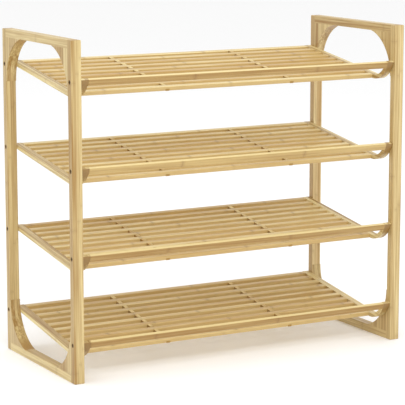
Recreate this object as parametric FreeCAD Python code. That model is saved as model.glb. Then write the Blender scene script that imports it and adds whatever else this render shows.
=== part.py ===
import FreeCAD, Part
import math
import os

# Four-tier bamboo shoe rack. Millimetres, +X to the right, +Y to the back, +Z up.
# The origin is at floor level, in the middle of the footprint.
# Two side frames carry four slatted shelves, which slope down to the front and
# end in a raised lip that stops the shoes from sliding off.

Vec = FreeCAD.Vector
X_AXIS = Vec(1, 0, 0)
Y_AXIS = Vec(0, 1, 0)
Z_AXIS = Vec(0, 0, 1)

# Overall size
rack_width = 700.0
rack_depth = 302.0
rack_height = 615.0

# Side frames
post_width = 20.0             # along X
post_depth = 15.0             # along Y
frame_rail_height = 15.0
gusset_radius = 85.0          # hollow curve of the corner blocks
gusset_leg = 83.0             # how far a corner block runs along its post
gusset_edge = 0.8             # thickness left at the thin end of a corner block
frame_edge_round = 1.5

# Shelves
shelf_names = ("bottom", "lower_middle", "upper_middle", "top")
bottom_shelf_height = 61.3    # deck surface at mid depth
top_shelf_drop = 82.7         # from the top of the rack down to the top shelf, at mid depth
shelf_tilt = 8.3              # degrees, falling to the front
deck_thickness = 8.0
end_rail_width = 15.0
end_rail_round = 1.0
lip_outer_radius = 49.0       # curl at the front of an end rail
lip_bar_angle = 65.0          # where the lip bar sits on the curl, from straight down
slat_width = 13.0
slat_count = 10
front_slat_place = 4.4        # from the start of the curl to the middle of the front slat
slat_round = 2.0
batten_width = 8.0
batten_offset = 132.5         # battens left and right of the middle
batten_round = 0.8
lap_clearance = 0.1           # each side of a slat or batten in its halving joint

# Dowels and screws
slat_dowel_diameter = 4.0
slat_dowel_in_slat = 10.0
slat_dowel_in_rail = 6.0
rail_dowel_diameter = 6.0
rail_dowel_depth = 11.0       # into the post, and the same into the rail
gusset_dowel_diameter = 5.0
gusset_dowel_depth = 7.0      # into the corner block, and the same into post or rail
gusset_dowel_place = 30.0     # from the corner, along either leg
screw_length = 27.0
screw_diameter = 4.0
screw_head_diameter = 8.0
screw_head_height = 3.0
screw_recess = 0.6            # head below the face of the post
hex_key_size = 3.0
hex_key_depth = 2.0

# Worked out from the sizes above
shelf_pitch = (rack_height - top_shelf_drop - bottom_shelf_height) / (len(shelf_names) - 1)
half_width = rack_width / 2
half_depth = rack_depth / 2
post_inner_x = half_width - post_width
post_inner_y = half_depth - post_depth
post_middle_y = half_depth - post_depth / 2
frame_middle_x = half_width - post_width / 2
gusset_curve_y = post_inner_y - gusset_edge - gusset_radius       # centre of the hollow curve
gusset_toe_y = gusset_curve_y + math.sqrt(gusset_radius ** 2 - gusset_leg ** 2)
tilt = math.radians(shelf_tilt)
lip_inner_radius = lip_outer_radius - deck_thickness
lip_middle_radius = lip_outer_radius - deck_thickness / 2
curl_y = lip_outer_radius - half_depth          # the curl's centre, so that it ends flush in front
deck_front_y = curl_y + lip_inner_radius * math.sin(tilt)
deck_length = (half_depth - deck_thickness * math.sin(tilt) - deck_front_y) / math.cos(tilt)
slat_pitch = (deck_length - slat_width / 2 - front_slat_place) / (slat_count - 1)
slat_length = 2 * (post_inner_x - end_rail_width)
lip_end_angle = math.radians(lip_bar_angle) + math.atan(slat_width / 2 / lip_middle_radius)
slat_places = [front_slat_place + i * slat_pitch for i in reversed(range(slat_count))]
rear_screw_place = (post_middle_y - deck_front_y - deck_thickness / 2 * math.sin(tilt)) / math.cos(tilt)
front_screw_angle = math.asin((post_middle_y + curl_y) / lip_middle_radius)


def box(x0, x1, y0, y1, z0, z1):
    return Part.makeBox(x1 - x0, y1 - y0, z1 - z0, Vec(x0, y0, z0))


def round_edges(solid, direction, radius):
    """Round the straight edges that run along one direction."""
    edges = [e for e in solid.Edges if e.Curve.TypeId == "Part::GeomLine"
             and abs(e.tangentAt(e.FirstParameter).dot(direction)) > 0.999]
    return solid.makeFillet(radius, edges)


def cylinder(start, direction, diameter, length):
    return Part.makeCylinder(diameter / 2, length, start, direction)


def extrude_profile(edges, x0, x1):
    """Solid from a closed outline in a plane across X."""
    face = Part.Face(Part.Wire(edges))
    face.translate(Vec(x0, 0, 0))
    return face.extrude(Vec(x1 - x0, 0, 0))


def mirror_x(shape):
    return shape.mirror(Vec(0, 0, 0), X_AXIS)


def mirror_y(shape):
    return shape.mirror(Vec(0, 0, 0), Y_AXIS)


def mirror_z(shape):
    """Mirror about the rack's mid height."""
    return shape.mirror(Vec(0, 0, rack_height / 2), Z_AXIS)


# ---------------------------------------------------------------- side frame (right hand)

def rounded_block():
    """The side frame's outer block, rounded on every outer edge."""
    block = box(post_inner_x, half_width, -half_depth, half_depth, 0, rack_height)
    return block.makeFillet(frame_edge_round, block.Edges)


def rear_post():
    """Square where the corner blocks are glued on, rounded on its inner edges between them."""
    lower = frame_rail_height + gusset_leg
    upper = rack_height - lower
    column = (post_inner_x, half_width, post_inner_y, half_depth)
    block = rounded_block()
    ends = [block.common(box(*column, 0, lower)), block.common(box(*column, upper, rack_height))]
    middle = round_edges(box(*column, lower, upper), Z_AXIS, frame_edge_round)
    return middle.multiFuse(ends).removeSplitter()


def top_rail():
    """Square where the corner blocks are glued on, rounded on its lower edges between them."""
    under = rack_height - frame_rail_height
    block = rounded_block()
    ends = [block.common(box(post_inner_x, half_width, y0, y1, under, rack_height))
            for y0, y1 in ((-post_inner_y, -gusset_toe_y), (gusset_toe_y, post_inner_y))]
    middle = box(post_inner_x, half_width, -gusset_toe_y, gusset_toe_y, under, rack_height)
    return round_edges(middle, Y_AXIS, frame_edge_round).multiFuse(ends).removeSplitter()


def gusset():
    """Corner block under the top rail, against the rear post: a hollow quarter curve."""
    corner_z = rack_height - frame_rail_height
    centre_z = corner_z - gusset_leg
    middle = math.radians(45)
    tip = Vec(0, post_inner_y - gusset_edge, centre_z)
    heel = Vec(0, post_inner_y, centre_z)
    corner = Vec(0, post_inner_y, corner_z)
    toe = Vec(0, gusset_toe_y, corner_z)
    hollow = Vec(0, gusset_curve_y + gusset_radius * math.cos(middle),
                 centre_z + gusset_radius * math.sin(middle))
    outline = [
        Part.makeLine(tip, heel),
        Part.makeLine(heel, corner),
        Part.makeLine(corner, toe),
        Part.Arc(toe, hollow, tip).toShape(),
    ]
    return extrude_profile(outline, post_inner_x, half_width)


def rail_dowels():
    """Dowels that join the two frame rails to the two posts."""
    pins = []
    for z in (frame_rail_height / 2, rack_height - frame_rail_height / 2):
        for side in (-1, 1):
            start = Vec(frame_middle_x, side * (post_inner_y - rail_dowel_depth), z)
            pins.append(cylinder(start, Y_AXIS * side, rail_dowel_diameter, 2 * rail_dowel_depth))
    return pins


def gusset_dowels():
    """Dowels that join a corner block to its post and to its rail."""
    corner_z = rack_height - frame_rail_height
    into_post = Vec(frame_middle_x, post_inner_y - gusset_dowel_depth, corner_z - gusset_dowel_place)
    into_rail = Vec(frame_middle_x, post_inner_y - gusset_dowel_place, corner_z - gusset_dowel_depth)
    length = 2 * gusset_dowel_depth
    return [
        cylinder(into_post, Y_AXIS, gusset_dowel_diameter, length),
        cylinder(into_rail, Z_AXIS, gusset_dowel_diameter, length),
    ]


def four_corners(shape):
    """A shape at the top rear corner, repeated at the four corners of a frame."""
    return {
        "top_rear": shape,
        "top_front": mirror_y(shape),
        "bottom_rear": mirror_z(shape),
        "bottom_front": mirror_y(mirror_z(shape)),
    }


# ---------------------------------------------------------------- shelf
# A shelf is drawn flat: Y runs up the slope, Z is square to the deck, the deck's
# top is at Z = 0, and Y = 0 is where the end rail starts to curl up.

def on_curl(angle, radius):
    """Point of the curl at an angle from straight down, in the flat drawing."""
    turned = angle + tilt
    return Vec(0, -radius * math.sin(turned), lip_inner_radius - radius * math.cos(turned))


def end_rail():
    """Right-hand end rail: a flat strip whose front end curls up."""
    under = -deck_thickness
    start = -tilt
    middle = (start + lip_end_angle) / 2
    outline = [
        Part.makeLine(Vec(0, 0, 0), Vec(0, deck_length, 0)),
        Part.makeLine(Vec(0, deck_length, 0), Vec(0, deck_length, under)),
        Part.makeLine(Vec(0, deck_length, under), Vec(0, 0, under)),
        Part.Arc(Vec(0, 0, under), on_curl(middle, lip_outer_radius),
                 on_curl(lip_end_angle, lip_outer_radius)).toShape(),
        Part.makeLine(on_curl(lip_end_angle, lip_outer_radius), on_curl(lip_end_angle, lip_inner_radius)),
        Part.Arc(on_curl(lip_end_angle, lip_inner_radius), on_curl(middle, lip_inner_radius),
                 Vec(0, 0, 0)).toShape(),
    ]
    rail = extrude_profile(outline, post_inner_x - end_rail_width, post_inner_x)
    long_edges = [e for e in rail.Edges
                  if abs(e.tangentAt(e.FirstParameter).x) < 0.001 and e.Length > deck_thickness + 1]
    return rail.makeFillet(end_rail_round, long_edges)


def plain_slat():
    """A slat centred on Y = 0, without its joints."""
    bar = box(-slat_length / 2, slat_length / 2, -slat_width / 2, slat_width / 2, -deck_thickness, 0)
    return round_edges(bar, X_AXIS, slat_round)


def slats():
    bar = plain_slat()
    half_notch = batten_width / 2 + lap_clearance
    for side in (-1, 1):
        x = side * batten_offset
        bar = bar.cut(box(x - half_notch, x + half_notch, -slat_width, slat_width,
                          -deck_thickness, -deck_thickness / 2))
    return [bar.translated(Vec(0, y, 0)) for y in slat_places]


def batten():
    """Right-hand batten, halved over each slat."""
    x0 = batten_offset - batten_width / 2
    front = slat_places[-1] - slat_width / 2
    strip = box(x0, x0 + batten_width, front, deck_length, -deck_thickness, 0)
    strip = round_edges(strip, Y_AXIS, batten_round)
    half_notch = slat_width / 2 + lap_clearance
    for y in slat_places:
        strip = strip.cut(box(x0, x0 + batten_width, y - half_notch, y + half_notch,
                              -deck_thickness / 2, 0))
    return strip


def lip_bar():
    """The raised bar between the curled ends of the two end rails."""
    bar = plain_slat().translated(Vec(0, 0, deck_thickness / 2))
    bar.rotate(Vec(0, 0, 0), X_AXIS, -lip_bar_angle - shelf_tilt)
    return bar.translated(on_curl(math.radians(lip_bar_angle), lip_middle_radius))


def slat_dowels():
    """One dowel in each end of each slat and of the lip bar."""
    centres = [Vec(0, y, -deck_thickness / 2) for y in slat_places]
    centres.append(on_curl(math.radians(lip_bar_angle), lip_middle_radius))
    pins = []
    for centre in centres:
        for side in (-1, 1):
            start = centre + X_AXIS * side * (slat_length / 2 - slat_dowel_in_slat)
            pins.append(cylinder(start, X_AXIS * side, slat_dowel_diameter,
                                 slat_dowel_in_slat + slat_dowel_in_rail))
    return pins


def screw_faces():
    """Middle of each screw head's face, on the right: one at the rear post, one at the front."""
    rear = Vec(0, rear_screw_place, -deck_thickness / 2)
    front = on_curl(front_screw_angle, lip_middle_radius)
    return [middle + X_AXIS * (half_width - screw_recess) for middle in (rear, front)]


def plain_screw(face):
    """A screw without its key hole."""
    head = Part.makeCone(screw_head_diameter / 2, screw_diameter / 2, screw_head_height, face, -X_AXIS)
    shank = cylinder(face, -X_AXIS, screw_diameter, screw_length - screw_recess)
    return head.fuse(shank).removeSplitter()


def shelf_screws():
    """Screws through the right-hand posts into the end rail."""
    screws = []
    for face in screw_faces():
        hexagon = [face + Vec(0, math.cos(math.radians(60 * i)), math.sin(math.radians(60 * i))) *
                   (hex_key_size / math.sqrt(3)) for i in range(7)]
        key_hole = Part.Face(Part.makePolygon(hexagon)).extrude(-X_AXIS * hex_key_depth)
        screws.append(plain_screw(face).cut(key_hole))
    return screws


def screw_holes():
    """What the screws take out of the right-hand posts and end rail."""
    holes = []
    for face in screw_faces():
        holes.append(plain_screw(face))
        holes.append(cylinder(face, X_AXIS, screw_head_diameter, 2 * screw_recess))
    return holes


def place_on_shelf(shapes, level):
    """Tilt shapes of the flat drawing and lift them to a shelf's level."""
    height = bottom_shelf_height + level * shelf_pitch + deck_front_y * math.tan(tilt)
    placed = []
    for shape in shapes:
        moved = shape.copy()
        moved.rotate(Vec(0, 0, 0), X_AXIS, shelf_tilt)
        placed.append(moved.translated(Vec(0, deck_front_y, height)))
    return placed


# ---------------------------------------------------------------- the whole rack

os.makedirs("parts", exist_ok=True)
written = {}


def write(name, solids):
    """One STEP file per node; a node may hold several separate solids."""
    solids = [s for shape in solids for s in shape.Solids]
    shape = solids[0] if len(solids) == 1 else Part.Compound(solids)
    shape.exportStep("parts/" + name + ".step")
    written[name] = solids


def write_pair(name, right_solids):
    """A right-hand part and its mirror image on the left."""
    write("right_" + name, right_solids)
    write("left_" + name, [mirror_x(s) for s in right_solids])


all_screws = []
all_screw_holes = []
for level in range(len(shelf_names)):
    all_screws += place_on_shelf(shelf_screws(), level)
    all_screw_holes += place_on_shelf(screw_holes(), level)

corner_dowels = [four_corners(pin) for pin in gusset_dowels()]
all_gusset_dowels = [pins[place] for pins in corner_dowels for place in pins]
frame_bores = rail_dowels() + all_gusset_dowels

post_blanks = {"rear_post": rear_post(), "front_post": mirror_y(rear_post())}
rail_blanks = {"top_rail": top_rail(), "bottom_rail": mirror_z(top_rail())}
gusset_blanks = {place + "_gusset": block for place, block in four_corners(gusset()).items()}
for name, blank in (post_blanks | rail_blanks | gusset_blanks).items():
    write_pair(name, [blank.cut(all_screw_holes + frame_bores)])
write_pair("rail_dowels", rail_dowels())
write_pair("gusset_dowels", all_gusset_dowels)
write_pair("shelf_screws", all_screws)

pins = slat_dowels()
rail_blank = end_rail().cut(pins + screw_holes())
slat_set = [s.cut(pins) for s in slats()]
bored_lip = lip_bar().cut(pins)
for level, name in enumerate(shelf_names):
    shelf = name + "_shelf_"
    write(shelf + "right_end_rail", place_on_shelf([rail_blank], level))
    write(shelf + "left_end_rail", place_on_shelf([mirror_x(rail_blank)], level))
    write(shelf + "right_batten", place_on_shelf([batten()], level))
    write(shelf + "left_batten", place_on_shelf([mirror_x(batten())], level))
    write(shelf + "slats", place_on_shelf(slat_set, level))
    write(shelf + "lip_bar", place_on_shelf([bored_lip], level))
    write(shelf + "slat_dowels", place_on_shelf(pins, level))

for name, solids in sorted(written.items()):
    volume = sum(s.Volume for s in solids)
    print(name, len(solids), "solids", round(volume), "mm3", all(s.isValid() for s in solids))
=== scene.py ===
import math

import bpy
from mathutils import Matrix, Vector


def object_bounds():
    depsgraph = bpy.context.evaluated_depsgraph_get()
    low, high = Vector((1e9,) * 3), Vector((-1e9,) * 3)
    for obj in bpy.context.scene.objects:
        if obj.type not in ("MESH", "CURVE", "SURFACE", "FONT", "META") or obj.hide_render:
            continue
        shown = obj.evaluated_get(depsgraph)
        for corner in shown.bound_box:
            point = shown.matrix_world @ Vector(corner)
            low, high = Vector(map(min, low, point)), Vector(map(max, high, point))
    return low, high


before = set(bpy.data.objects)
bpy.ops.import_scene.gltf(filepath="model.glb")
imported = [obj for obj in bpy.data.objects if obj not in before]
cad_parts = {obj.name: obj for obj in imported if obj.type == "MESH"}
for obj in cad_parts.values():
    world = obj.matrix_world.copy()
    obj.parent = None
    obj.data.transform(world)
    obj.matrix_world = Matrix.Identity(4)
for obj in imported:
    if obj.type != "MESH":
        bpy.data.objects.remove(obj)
cad_low, cad_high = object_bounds()

MM = 0.001
SHELF_TILT = 8.3                  # degrees that the shelves slope down to the front
MIX_A, MIX_B, MIX_OUT = 6, 7, 2   # the colour sockets of a mix node, which share their names with others


def srgb(code):
    """Linear RGBA from an sRGB hex colour."""
    channels = [int(code[i:i + 2], 16) / 255 for i in (1, 3, 5)]
    return tuple(c / 12.92 if c <= 0.04045 else ((c + 0.055) / 1.055) ** 2.4 for c in channels) + (1.0,)


def add(tree, kind, inputs=None, **settings):
    """Add a node, give it its settings, and fill its inputs with values or links."""
    made = tree.nodes.new(kind)
    for key, value in settings.items():
        setattr(made, key, value)
    for key, value in (inputs or {}).items():
        if isinstance(value, bpy.types.NodeSocket):
            tree.links.new(value, made.inputs[key])
        else:
            made.inputs[key].default_value = value
    return made


def new_material(name):
    """An empty material and its node tree."""
    material = bpy.data.materials.new(name)
    material.use_nodes = True
    material.node_tree.nodes.clear()
    return material, material.node_tree


# ---------------------------------------------------------------- bamboo

# Natural bamboo, planed, glued into bars from narrow strips and sprayed with clear satin lacquer.
# The eye sees straw-coloured strips that differ a little from each other, fine darker fibres along
# them, a short brown band where a strip crosses one of the culm's nodes, and dotted end grain.
BAMBOO_LIGHT = "#DBC68E"
BAMBOO_DARK = "#9C7639"
BAMBOO_FIBRE = "#A17F45"
BAMBOO_NODE = "#7C5428"
BAMBOO_END_GRAIN = "#AD894C"
BAMBOO_PORE = "#7E5C2E"
PALE_LIGHT = "#F2DFAA"         # one post, which is from paler culms than the others
PALE_DARK = "#BF9A5E"
PALE_SHADED_SIDE = "#A27F47"          # that post's left and right faces, painted darker than its front as painted shade
SHELF_LIGHT = "#EDDBA1"
SHELF_DARK = "#B89252"
# The lip bars' broad faces, darker than the shelves as painted shade
LIP_SHADED_FACE = "#C8AC6F"
RAIL_END_GRAIN_AND_SHADE = "#8A6934"           # the end rails' ends and curls: darker end grain on the ends, and painted shade on the curls under the lips
SLAT_SHADED_EDGE = "#C4A466"          # the slats' narrow front and rear sides, painted darker as painted shade in the gaps between the slats
BATTEN_SHADED_SIDE = "#835B20"        # the battens' sides, painted dark brown as painted shade in the pockets between the slats

# Sizes of one glued strip in millimetres, across the bar and through it
FRAME_STRIP = (6.7, 40.0)      # about three side by side in a post
BLOCK_STRIP = (6.7, 30.0)
END_RAIL_STRIP = (7.5, 60.0)
SLAT_STRIP = (26.4, 60.0)      # as wide as one slat and one gap, so that neighbours differ
BATTEN_STRIP = (30.0, 60.0)
DOWEL_STRIP = (10.0, 10.0)

# Marks in the grain: sizes in millimetres, and how strongly they show
FIBRE_WIDTH = 0.7              # a little coarser than the real 0.3 to 0.5, so that it shows
FIBRE_LENGTH = 45.0
FIBRE_RELIEF = 0.06
FIBRE_STRENGTH = 0.5
STREAK_WIDTH = 3.2
STREAK_LENGTH = 160.0
NODE_SPACING = 260.0
NODE_BAND = 4.0
NODE_HALO = 16.0
NODE_WANDER = 0.15             # waves along the edge of a node's band, per millimetre
PORE_SPACING = 0.9
PORE_CORE, PORE_RIM = 0.15, 0.45   # a pore's dark middle and its edge, as shares of the spacing
PORE_STRENGTH = 0.7
CHANCE_SEED = 7.3              # chooses one set of random strips
CHANCE_WEIGHT = 0.35           # how much strips differ, beside the streaks within them

# Noise levels at which the dark tone, the fibres and the lacquer's roughness start and are full
TONE_START, TONE_FULL = 0.4, 0.95
FIBRE_START, FIBRE_FULL = 0.45, 0.75
SATIN_START, SATIN_FULL = 0.3, 0.7

# Faces that look along an axis: cosines at which their colour starts and is full
END_START = 0.75
SIDE_START = 0.6
SQUARE_ON = 0.95
SIDE_STRENGTH = 0.8            # how far a side takes the side colour, mostly painted shade and, on the lips, painted light

LACQUER_IOR = 1.5
LACQUER_SPECULAR = 0.5
LACQUER_COAT = 0.15
COAT_ROUGHNESS = 0.3
LACQUER_SMOOTH, LACQUER_ROUGH = 0.38, 0.5
LACQUER_BUMP = 0.35            # how much of the fibres' relief is left under the lacquer


def strip_chances(tree, across, depth, strip):
    """Random numbers that are the same all over one glued strip."""
    cells = [add(tree, "ShaderNodeMath", {0: place, 1: 1 / size}, operation="MULTIPLY")
             for place, size in zip((across, depth), strip)]
    whole = [add(tree, "ShaderNodeMath", {0: cell.outputs[0]}, operation="FLOOR") for cell in cells]
    strip_id = add(tree, "ShaderNodeCombineXYZ", {0: whole[0].outputs[0], 1: whole[1].outputs[0],
                                                  2: CHANCE_SEED})
    chance = add(tree, "ShaderNodeTexWhiteNoise", {"Vector": strip_id.outputs[0]}, noise_dimensions="3D")
    return add(tree, "ShaderNodeSeparateColor", {0: chance.outputs["Color"]}).outputs


def drawn_out_noise(tree, straight, length, width, detail, roughness=0.5):
    """Noise drawn out along the grain, for marks of that length and width in millimetres."""
    drawn = add(tree, "ShaderNodeMapping", {"Vector": straight, "Scale": (1 / length, 1 / width, 1 / width)})
    noise = add(tree, "ShaderNodeTexNoise", {"Vector": drawn.outputs[0], "Scale": 1.0, "Detail": detail,
                                             "Roughness": roughness})
    return noise.outputs[0]


def culm_nodes(tree, straight, along, start, knots):
    """A band with a softer halo at each of the culm's nodes. start moves the nodes of one strip."""
    wander = add(tree, "ShaderNodeTexNoise", {"Vector": straight, "Scale": NODE_WANDER, "Detail": 1.0})
    bent = add(tree, "ShaderNodeMath", {0: wander.outputs[0], 1: NODE_BAND, 2: along},
               operation="MULTIPLY_ADD")
    placed = add(tree, "ShaderNodeMath", {0: bent.outputs[0], 1: 1 / NODE_SPACING, 2: start},
                 operation="MULTIPLY_ADD")
    cycle = add(tree, "ShaderNodeMath", {0: placed.outputs[0]}, operation="FRACT")
    middle = add(tree, "ShaderNodeMath", {0: cycle.outputs[0], 1: 0.5}, operation="SUBTRACT")
    distance = add(tree, "ShaderNodeMath", {0: middle.outputs[0]}, operation="ABSOLUTE")
    band, halo = (add(tree, "ShaderNodeMapRange", {0: distance.outputs[0], 1: 0.0,
                                                   2: width / 2 / NODE_SPACING, 3: strength, 4: 0.0},
                      interpolation_type="SMOOTHSTEP")
                  for width, strength in ((NODE_BAND, knots), (NODE_HALO, knots / 2)))
    knot = add(tree, "ShaderNodeMath", {0: band.outputs[0], 1: halo.outputs[0]}, operation="MAXIMUM")
    return knot.outputs[0]


def facing_share(tree, facing, axis, start, strength):
    """strength on faces square on to an axis, and nothing on those whose cosine to it is under start."""
    towards = add(tree, "ShaderNodeVectorMath", {0: facing, 1: axis}, operation="DOT_PRODUCT")
    cosine = add(tree, "ShaderNodeMath", {0: towards.outputs["Value"]}, operation="ABSOLUTE")
    share = add(tree, "ShaderNodeMapRange", {0: cosine.outputs[0], 1: start, 2: SQUARE_ON, 3: 0.0,
                                             4: strength}, interpolation_type="SMOOTHSTEP")
    return share.outputs[0]


def planed_colour(tree, streaks, fibres, chance, knot, light, dark):
    """Colour along the grain: the strip's own tone, its streaks, the fibres and the culm's nodes."""
    tone = add(tree, "ShaderNodeMath", {0: chance, 1: CHANCE_WEIGHT, 2: streaks}, operation="MULTIPLY_ADD")
    shade = add(tree, "ShaderNodeMapRange", {0: tone.outputs[0], 1: TONE_START, 2: TONE_FULL})
    plain = add(tree, "ShaderNodeMix", {0: shade.outputs[0], MIX_A: srgb(light), MIX_B: srgb(dark)},
                data_type="RGBA")
    share = add(tree, "ShaderNodeMapRange", {0: fibres, 1: FIBRE_START, 2: FIBRE_FULL, 3: 0.0,
                                             4: FIBRE_STRENGTH})
    fibrous = add(tree, "ShaderNodeMix", {0: share.outputs[0], MIX_A: plain.outputs[MIX_OUT],
                                          MIX_B: srgb(BAMBOO_FIBRE)}, data_type="RGBA")
    knotted = add(tree, "ShaderNodeMix", {0: knot, MIX_A: fibrous.outputs[MIX_OUT],
                                          MIX_B: srgb(BAMBOO_NODE)}, data_type="RGBA")
    return knotted.outputs[MIX_OUT]


def end_grain_colour(tree, straight):
    """Colour of end grain, with the cut fibres as darker dots."""
    dots = add(tree, "ShaderNodeTexVoronoi", {"Vector": straight, "Scale": 1 / PORE_SPACING})
    pore = add(tree, "ShaderNodeMapRange", {0: dots.outputs["Distance"], 1: PORE_CORE, 2: PORE_RIM,
                                            3: PORE_STRENGTH, 4: 0.0})
    colour = add(tree, "ShaderNodeMix", {0: pore.outputs[0], MIX_A: srgb(BAMBOO_END_GRAIN),
                                         MIX_B: srgb(BAMBOO_PORE)}, data_type="RGBA")
    return colour.outputs[MIX_OUT]


def bamboo(name, grain, strip, tilt=0.0, light=BAMBOO_LIGHT, dark=BAMBOO_DARK, side=None,
           side_axis=(1, 0, 0), knots=0.25, gloss_share=1.0):
    """Bamboo whose grain runs along one axis.

    grain is "X", "Y" or "Z". strip is the size in millimetres of one glued strip along the two
    other axes, in their order. tilt turns the pattern about X to follow a shelf. light and dark are
    the two ends of the strips' tones. side is the colour of the faces along side_axis where they
    differ from the rest. knots is how strongly the culm's nodes show, and gloss_share how much of
    the lacquer there is.
    """
    material, tree = new_material(name)
    coords = add(tree, "ShaderNodeTexCoord")
    turn = (-math.radians(tilt), 0, 0)
    turned = add(tree, "ShaderNodeMapping", {"Vector": coords.outputs["Object"], "Scale": (1 / MM,) * 3,
                                             "Rotation": turn})
    facing = add(tree, "ShaderNodeMapping", {"Vector": coords.outputs["Normal"], "Rotation": turn}).outputs[0]
    parts = add(tree, "ShaderNodeSeparateXYZ", {0: turned.outputs[0]})
    order = {"X": "XYZ", "Y": "YXZ", "Z": "ZXY"}[grain]
    along, across, depth = (parts.outputs[axis] for axis in order)
    straight = add(tree, "ShaderNodeCombineXYZ", {0: along, 1: across, 2: depth}).outputs[0]

    chances = strip_chances(tree, across, depth, strip)
    fibres = drawn_out_noise(tree, straight, FIBRE_LENGTH, FIBRE_WIDTH, detail=3.0, roughness=0.6)
    streaks = drawn_out_noise(tree, straight, STREAK_LENGTH, STREAK_WIDTH, detail=2.0)
    knot = culm_nodes(tree, straight, along, chances[0], knots)

    grain_axis = tuple(float(axis == grain) for axis in "XYZ")
    end = facing_share(tree, facing, grain_axis, END_START, 1.0)
    planed = planed_colour(tree, streaks, fibres, chances[1], knot, light, dark)
    colour = add(tree, "ShaderNodeMix", {0: end, MIX_A: planed, MIX_B: end_grain_colour(tree, straight)},
                 data_type="RGBA")
    # Faces along side_axis take the side colour: painted shade on the pale post, slats, battens and end
    # rails' curls, painted light on the lips' top edges, and end grain on the end rails' ends.
    if side:
        share = facing_share(tree, facing, side_axis, SIDE_START, SIDE_STRENGTH)
        colour = add(tree, "ShaderNodeMix", {0: share, MIX_A: colour.outputs[MIX_OUT], MIX_B: srgb(side)},
                     data_type="RGBA")

    # lacquer: satin, with the fibres just felt through it
    gloss = add(tree, "ShaderNodeMapRange", {0: fibres, 1: SATIN_START, 2: SATIN_FULL, 3: LACQUER_SMOOTH,
                                             4: LACQUER_ROUGH})
    bump = add(tree, "ShaderNodeBump", {"Height": fibres, "Strength": LACQUER_BUMP,
                                        "Distance": FIBRE_RELIEF * MM})
    shader = add(tree, "ShaderNodeBsdfPrincipled", {"Base Color": colour.outputs[MIX_OUT],
                                                    "Roughness": gloss.outputs[0], "Normal": bump.outputs[0],
                                                    "IOR": LACQUER_IOR,
                                                    "Specular IOR Level": LACQUER_SPECULAR * gloss_share,
                                                    "Coat Weight": LACQUER_COAT * gloss_share,
                                                    "Coat Roughness": COAT_ROUGHNESS})
    add(tree, "ShaderNodeOutputMaterial", {0: shader.outputs[0]})
    return material


# Side frames: straight seams between strips, and faint nodes
post_bamboo = bamboo("bamboo_posts", "Z", FRAME_STRIP)
# The pale post's left and right faces are painted darker than its front: painted shade.
pale_post_bamboo = bamboo("bamboo_pale_post", "Z", FRAME_STRIP, light=PALE_LIGHT, dark=PALE_DARK,
                          side=PALE_SHADED_SIDE)
frame_rail_bamboo = bamboo("bamboo_frame_rails", "Y", FRAME_STRIP)
block_bamboo = bamboo("bamboo_corner_blocks", "Z", BLOCK_STRIP)

# Shelves: paler than the side frames, with brown ends on the end rails, which are end grain and, on the
# curls, painted shade; the slats' front and rear sides carry painted shade, and the slats have clearer nodes
end_rail_bamboo = bamboo("bamboo_end_rails", "Y", END_RAIL_STRIP, tilt=SHELF_TILT, light=SHELF_LIGHT,
                         side=RAIL_END_GRAIN_AND_SHADE, side_axis=(0, 1, 0))
# The slats' front and rear sides take painted shade.
slat_bamboo = bamboo("bamboo_slats", "X", SLAT_STRIP, tilt=SHELF_TILT, light=SHELF_LIGHT,
                     dark=SHELF_DARK, side=SLAT_SHADED_EDGE, side_axis=(0, 1, 0), knots=0.5)

# Lip bars: a darker broad face between pale edges, which is painted shade on the broad face and painted light
# on the top edge
lip_bamboo = bamboo("bamboo_lips", "X", SLAT_STRIP, tilt=SHELF_TILT, light=LIP_SHADED_FACE,
                    side=SHELF_LIGHT, side_axis=(0, 0, 1), knots=0.5)

# Battens: duller than the rest, with sides painted dark brown as painted shade, which show as dark spots
# between the slats
batten_bamboo = bamboo("bamboo_battens", "Y", BATTEN_STRIP, tilt=SHELF_TILT, light=SHELF_LIGHT,
                       dark=SHELF_DARK, side=BATTEN_SHADED_SIDE, gloss_share=0.2)

dowel_bamboo = bamboo("bamboo_dowels", "X", DOWEL_STRIP)

# ---------------------------------------------------------------- steel

BRONZE_DARK = "#5E4A30"
BRONZE_LIGHT = "#7E6745"
BRONZE_SMOOTH, BRONZE_ROUGH = 0.35, 0.55
MOTTLE_SIZE = 0.4              # millimetres


def bronzed_steel():
    """Bronze-plated steel screws: dark brown, with a dull and slightly mottled metal sheen."""
    material, tree = new_material("bronzed_steel")
    coords = add(tree, "ShaderNodeTexCoord")
    mottle = add(tree, "ShaderNodeTexNoise", {"Vector": coords.outputs["Object"],
                                              "Scale": 1 / (MOTTLE_SIZE * MM), "Detail": 2.0})
    tint = add(tree, "ShaderNodeMix", {0: mottle.outputs[0], MIX_A: srgb(BRONZE_DARK),
                                       MIX_B: srgb(BRONZE_LIGHT)}, data_type="RGBA")
    rough = add(tree, "ShaderNodeMapRange", {0: mottle.outputs[0], 3: BRONZE_SMOOTH, 4: BRONZE_ROUGH})
    shader = add(tree, "ShaderNodeBsdfPrincipled", {"Base Color": tint.outputs[MIX_OUT], "Metallic": 1.0,
                                                    "Roughness": rough.outputs[0]})
    add(tree, "ShaderNodeOutputMaterial", {0: shader.outputs[0]})
    return material


# ---------------------------------------------------------------- pieces

# A piece takes the first material whose key its name ends with
MATERIALS = {
    "right_rear_post": pale_post_bamboo,
    "post": post_bamboo,
    "top_rail": frame_rail_bamboo,
    "bottom_rail": frame_rail_bamboo,
    "gusset": block_bamboo,
    "end_rail": end_rail_bamboo,
    "slats": slat_bamboo,
    "lip_bar": lip_bamboo,
    "batten": batten_bamboo,
    "dowels": dowel_bamboo,
    "screws": bronzed_steel(),
}

for name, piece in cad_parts.items():
    piece.data.materials.clear()
    piece.data.materials.append(next(made for ending, made in MATERIALS.items() if name.endswith(ending)))

# ---------------------------------------------------------------- floor and light

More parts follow.
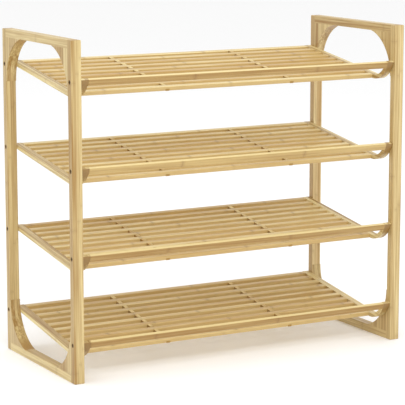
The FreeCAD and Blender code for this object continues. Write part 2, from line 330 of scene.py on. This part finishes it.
FLOOR_SIZE = 60.0              # metres
TABLE_WHITE = "#FAFAFA"
TABLE_GLOW = 0.06
LAMP_DISTANCE = 3.6            # metres from the rack's middle
COOL_WHITE = (0.82, 0.92, 1.0)
ROOM_LIGHT = 0.93              # how strongly the white room lights the rack
BACKDROP_LIGHT = 1.0           # how bright the room looks behind the rack


def floor():
    """A plain white light table, which glows a little and so keeps its colour far from the lamps."""
    mesh = bpy.data.meshes.new("floor")
    half = FLOOR_SIZE / 2
    corners = [(-half, -half, 0), (half, -half, 0), (half, half, 0), (-half, half, 0)]
    mesh.from_pydata(corners, [], [(0, 1, 2, 3)])
    plane = bpy.data.objects.new("floor", mesh)
    bpy.context.collection.objects.link(plane)
    material, tree = new_material("white_light_table")
    shader = add(tree, "ShaderNodeBsdfPrincipled", {"Base Color": srgb(TABLE_WHITE), "Roughness": 0.9,
                                                    "Specular IOR Level": 0.1, "Emission Color": (1, 1, 1, 1),
                                                    "Emission Strength": TABLE_GLOW})
    add(tree, "ShaderNodeOutputMaterial", {0: shader.outputs[0]})
    mesh.materials.append(material)


def soft_light(name, around, up, size, power, tint=(1, 1, 1)):
    """A square area light that faces the rack.

    around is its angle from straight in front towards the right, and up its angle above the rack's middle.
    """
    data = bpy.data.lights.new(name, "AREA")
    data.energy = power
    data.size = size
    data.color = tint
    lamp = bpy.data.objects.new(name, data)
    turn, rise = math.radians(around), math.radians(up)
    away = Vector((math.sin(turn) * math.cos(rise), -math.cos(turn) * math.cos(rise), math.sin(rise)))
    lamp.location = (cad_low + cad_high) / 2 + away * LAMP_DISTANCE
    lamp.rotation_euler = away.to_track_quat("Z", "Y").to_euler()
    bpy.context.collection.objects.link(lamp)


def studio_world():
    """A white room that fills the shadows, seen as plain white behind the rack."""
    world = bpy.data.worlds.new("white_studio")
    world.use_nodes = True
    tree = world.node_tree
    tree.nodes.clear()
    seen = add(tree, "ShaderNodeLightPath")
    fill, backdrop = (add(tree, "ShaderNodeBackground", {"Color": (1, 1, 1, 1), "Strength": strength})
                      for strength in (ROOM_LIGHT, BACKDROP_LIGHT))
    both = add(tree, "ShaderNodeMixShader", {0: seen.outputs["Is Camera Ray"], 1: fill.outputs[0],
                                             2: backdrop.outputs[0]})
    add(tree, "ShaderNodeOutputWorld", {0: both.outputs[0]})
    bpy.context.scene.world = world


floor()
soft_light("key_softbox", around=-12, up=42, size=1.6, power=42)
soft_light("left_softbox", around=-90, up=25, size=1.6, power=13, tint=COOL_WHITE)
soft_light("top_softbox", around=180, up=80, size=2.0, power=14)
studio_world()
bpy.context.scene.view_settings.view_transform = "Standard"

# ---------------------------------------------------------------- camera

CAMERA_PLACE = (-1.7308, -3.1143, 0.9005)   # metres
CAMERA_YAW = 28.981                         # degrees to the right of straight ahead
CAMERA_PITCH = 9.910                        # degrees down
CAMERA_LENS = 167.72                        # millimetres
SENSOR = 36.0                               # millimetres

camera_data = bpy.data.cameras.new("camera")
camera_data.sensor_width = SENSOR
camera_data.lens = CAMERA_LENS
camera = bpy.data.objects.new("camera", camera_data)
camera.location = CAMERA_PLACE
camera.rotation_euler = (math.radians(90 - CAMERA_PITCH), 0, -math.radians(CAMERA_YAW))
bpy.context.collection.objects.link(camera)
bpy.context.scene.camera = camera
